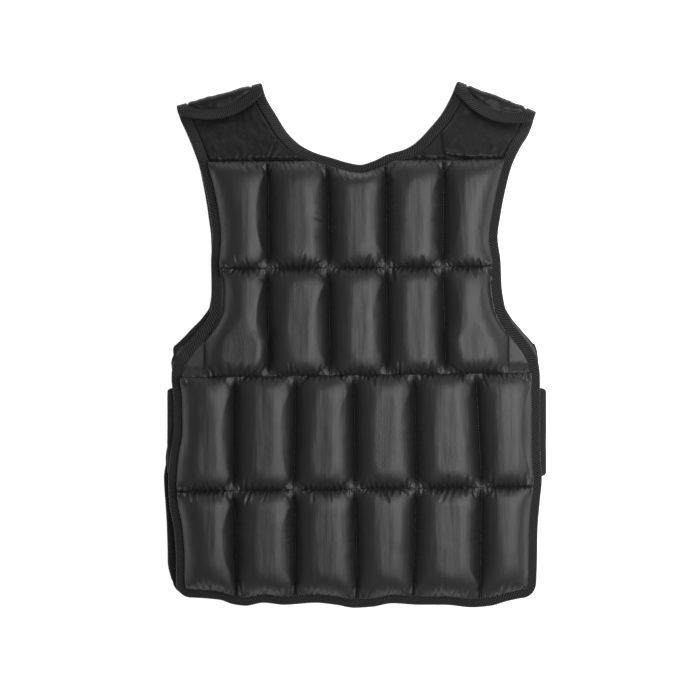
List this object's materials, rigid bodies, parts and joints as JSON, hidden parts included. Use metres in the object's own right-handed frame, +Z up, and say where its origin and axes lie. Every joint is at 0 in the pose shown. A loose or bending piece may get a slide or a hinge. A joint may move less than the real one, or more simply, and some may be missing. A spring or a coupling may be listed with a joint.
{
  "type": "weighted training vest",
  "caption": "Quilted weighted vest lying flat, with rows of ballast pockets on front and back, tape-bound edges, folded shoulders and elastic hip bands.",
  "frame": {"origin": "on the floor, under the middle of the bounding box", "axes": "+Y towards the shoulders, +Z up out of the front panel, +X to the right as seen from the front"},
  "size_m": [0.3822, 0.5268, 0.0506],
  "materials": {
    "shell_cloth": "satin, fine plain weave",
    "edge_tape": "matt, diagonal twill",
    "elastic_band": "matt, smooth knit"
  },
  "bodies": {
    "root": {"back_base_cloth": "shell_cloth", "front_base_cloth": "shell_cloth", "back_pocket_row_1": "shell_cloth", "back_pocket_row_2": "shell_cloth", "back_pocket_row_3": "shell_cloth", "back_pocket_row_4": "shell_cloth", "front_pocket_row_1": "shell_cloth", "front_pocket_row_2": "shell_cloth", "front_pocket_row_3": "shell_cloth", "front_pocket_row_4": "shell_cloth", "back_yoke_left": "shell_cloth", "back_yoke_right": "shell_cloth", "front_yoke_left": "shell_cloth", "front_yoke_right": "shell_cloth", "back_edge_tape": "edge_tape", "back_neck_tape": "edge_tape", "front_edge_tape": "edge_tape", "front_neck_tape": "edge_tape", "shoulder_flap_tape_left": "edge_tape", "shoulder_flap_tape_right": "edge_tape", "hip_band_left": "elastic_band", "hip_band_right": "elastic_band"}
  },
  "joints": []
}
